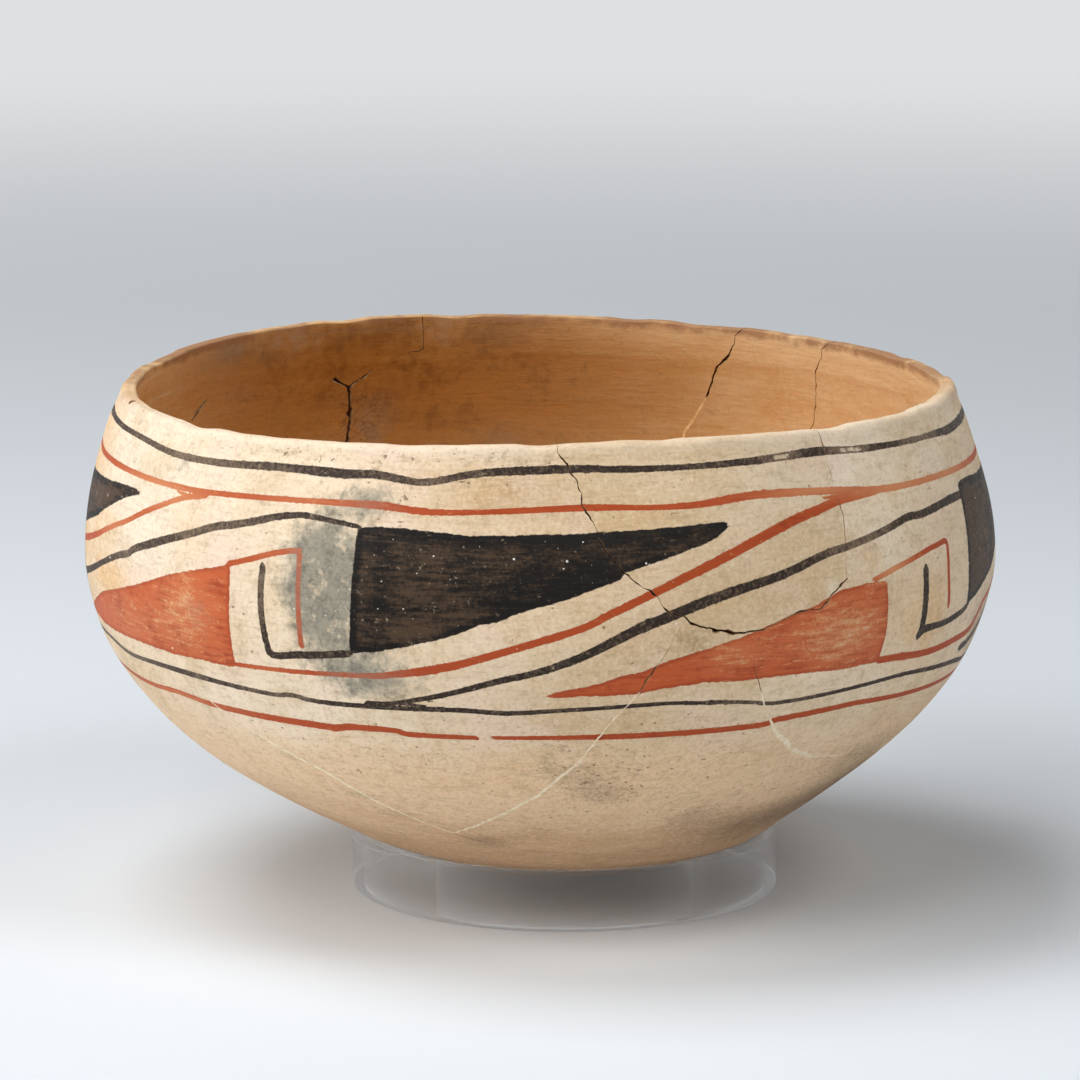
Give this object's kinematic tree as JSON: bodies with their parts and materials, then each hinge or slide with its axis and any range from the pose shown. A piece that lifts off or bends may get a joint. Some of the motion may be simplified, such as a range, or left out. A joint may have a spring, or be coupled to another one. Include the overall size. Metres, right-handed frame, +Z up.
{
  "type": "polychrome pottery bowl",
  "caption": "Wide round-bottomed earthenware bowl with a painted black and red band, mended from sherds, resting on a clear display ring that it lifts off.",
  "frame": {"origin": "on the surface that the display ring stands on, under the middle of the whole object's box", "axes": "+Z up out of the bowl's mouth; -Y faces the picture's camera, with the crack from the rim just right of the middle; +X to the right as seen from there"},
  "size_m": [0.2416, 0.2416, 0.1389],
  "materials": {
    "painted_earthenware": "hand-smoothed cream slip over orange clay, painted in black and red, slightly polished and worn",
    "joint_filler": "matt pale filler",
    "clear_acrylic": "clear polished acrylic tube with a sawn and polished edge"
  },
  "bodies": {
    "ring": {"display_ring": "clear_acrylic"},
    "bowl": {"front_rim_sherd": "painted_earthenware", "front_left_sherd": "painted_earthenware", "front_lower_sherd": "painted_earthenware", "right_sherd": "painted_earthenware", "back_right_sherd": "painted_earthenware", "back_sherd": "painted_earthenware", "back_rim_sherd": "painted_earthenware", "back_left_sherd": "painted_earthenware", "base_sherd": "painted_earthenware", "front_joint_fill": "joint_filler", "right_joint_fill": "joint_filler", "back_joint_fill": "joint_filler"}
  },
  "joints": [
    {"name": "bowl_lift", "type": "slide", "parent": "ring", "child": "bowl", "axis": [0, 0, 1], "range_m": [0, 0.04]}
  ]
}
